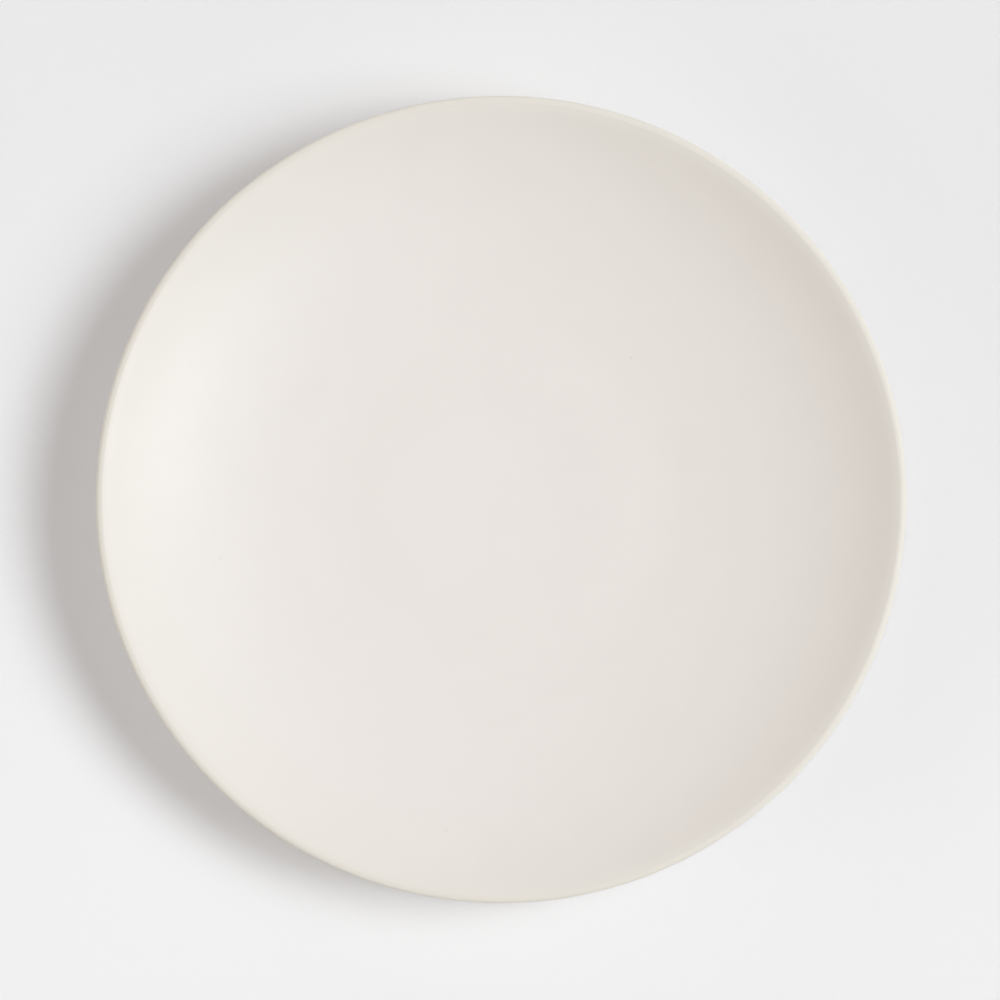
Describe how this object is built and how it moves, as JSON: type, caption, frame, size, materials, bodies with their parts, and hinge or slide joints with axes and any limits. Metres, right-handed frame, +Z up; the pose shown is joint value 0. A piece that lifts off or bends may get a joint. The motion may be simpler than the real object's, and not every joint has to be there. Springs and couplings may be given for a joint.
{
  "type": "coupe dinner plate",
  "caption": "Round coupe dinner plate in satin cream glazed stoneware, with a floor that sweeps up to a rounded lip and a bare foot ring underneath.",
  "frame": {"origin": "centre of the foot ring's resting face, on the table", "axes": "+Z up along the axis of the plate, out of the dish; +X and +Y are any two level directions, since the plate is round"},
  "size_m": [0.275, 0.275, 0.028],
  "materials": {
    "bare_stoneware": "fired and left bare, ground smooth where it rests",
    "satin_glaze": "satin, warm off-white, a little warmer where it thins on the lip"
  },
  "bodies": {
    "root": {"stoneware_body": "bare_stoneware", "glaze_coat": "satin_glaze", "foot_well_glaze": "satin_glaze"}
  },
  "joints": []
}
